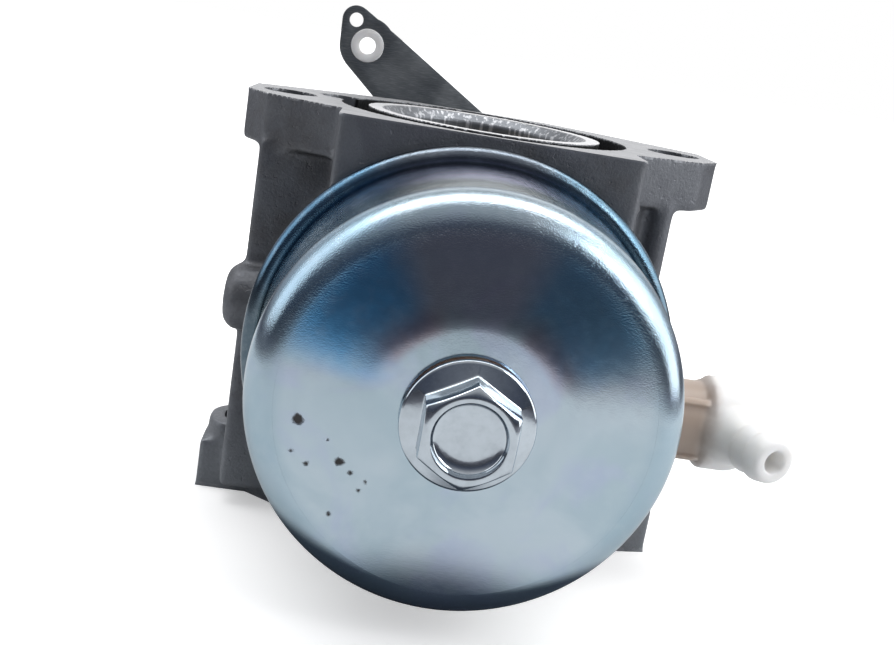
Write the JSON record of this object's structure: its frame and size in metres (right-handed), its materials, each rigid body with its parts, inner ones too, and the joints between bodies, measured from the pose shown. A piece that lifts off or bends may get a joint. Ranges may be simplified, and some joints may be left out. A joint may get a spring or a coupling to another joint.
{
  "type": "carburetor",
  "caption": "Small-engine float-bowl carburetor: cast body with two flanged faces, pressed steel bowl, butterfly throttle and choke, plastic fuel elbow.",
  "frame": {"origin": "centre of the throttle bore at the engine flange face", "axes": "+Z along the bore from the engine flange to the air-cleaner flange; -Y along the float bowl axis towards the bowl bolt; +X towards the fuel inlet"},
  "size_m": [0.0987, 0.0986, 0.0885],
  "materials": {
    "cast_aluminium": "bead-blasted die casting with machined faces",
    "zinc_bowl": "pressed steel, zinc plated with a blue clear chromate",
    "bright_zinc": "bright zinc plate",
    "ground_steel": "ground steel",
    "lever_steel": "stamped steel, dark zinc plate",
    "spring_steel": "drawn wire",
    "brass": "turned brass",
    "white_nylon": "moulded nylon",
    "rubber": "moulded rubber",
    "fibre": "vulcanised fibre",
    "needle_metal": "turned aluminium with a rubber tip"
  },
  "bodies": {
    "root": {"carburetor_body": "cast_aluminium", "float_bowl": "zinc_bowl", "bowl_gasket": "rubber", "bowl_bolt": "bright_zinc", "bowl_bolt_washer": "fibre", "float_hinge_pin": "ground_steel", "needle_seat": "brass", "fuel_inlet_elbow": "white_nylon", "fuel_inlet_o_ring": "rubber", "main_nozzle": "brass", "main_jet": "brass", "pilot_jet": "brass", "air_jets": "brass", "throttle_return_spring": "spring_steel", "throttle_shaft_seal": "rubber", "choke_return_spring": "spring_steel", "choke_shaft_seal": "rubber", "idle_speed_spring": "spring_steel", "idle_mixture_spring": "spring_steel", "welch_plug": "ground_steel", "passage_plugs": "brass"},
    "throttle_valve": {"throttle_shaft": "ground_steel", "throttle_plate": "brass", "throttle_plate_screws": "bright_zinc", "throttle_lever": "lever_steel", "throttle_lever_nut": "bright_zinc"},
    "choke_valve": {"choke_shaft": "ground_steel", "choke_plate": "brass", "choke_plate_screws": "bright_zinc", "choke_lever": "lever_steel", "choke_lever_bushing": "white_nylon", "choke_lever_screw": "bright_zinc"},
    "float_arm": {"float": "white_nylon"},
    "needle_valve": {"inlet_needle": "needle_metal", "needle_clip": "ground_steel"},
    "idle_speed_adjuster": {"idle_speed_screw": "bright_zinc"},
    "idle_mixture_adjuster": {"idle_mixture_screw": "brass"}
  },
  "joints": [
    {"name": "throttle", "type": "hinge", "parent": "root", "child": "throttle_valve", "pos_m": [0, 0.0298, 0.0142], "axis": [0, -1, 0], "range_deg": [0, 75], "stiffness_Nm_per_rad": 0.004, "springref_deg": -20.05},
    {"name": "choke", "type": "hinge", "parent": "root", "child": "choke_valve", "pos_m": [0, 0.0288, 0.0514], "axis": [0, -1, 0], "range_deg": [0, 75]},
    {"name": "float_hinge", "type": "hinge", "parent": "root", "child": "float_arm", "pos_m": [0.0255, -0.0288, 0.0365], "axis": [0, 0, 1], "range_deg": [0, 8]},
    {"name": "needle_slide", "type": "slide", "parent": "root", "child": "needle_valve", "axis": [0, -1, 0], "range_m": [0, 0.00106]},
    {"name": "idle_speed_turn", "type": "hinge", "parent": "root", "child": "idle_speed_adjuster", "pos_m": [-0.01, 0.0298, 0.03], "axis": [0, 0, 1], "range_deg": [-540, 540]},
    {"name": "idle_mixture_turn", "type": "hinge", "parent": "root", "child": "idle_mixture_adjuster", "pos_m": [-0.0212, 0.0212, 0.0086], "axis": [-0.7071, 0.7071, 0], "range_deg": [-540, 540]}
  ],
  "couplings": [
    {"joint": "needle_slide", "follows": "float_hinge", "m_per_rad": 0.0075}
  ]
}
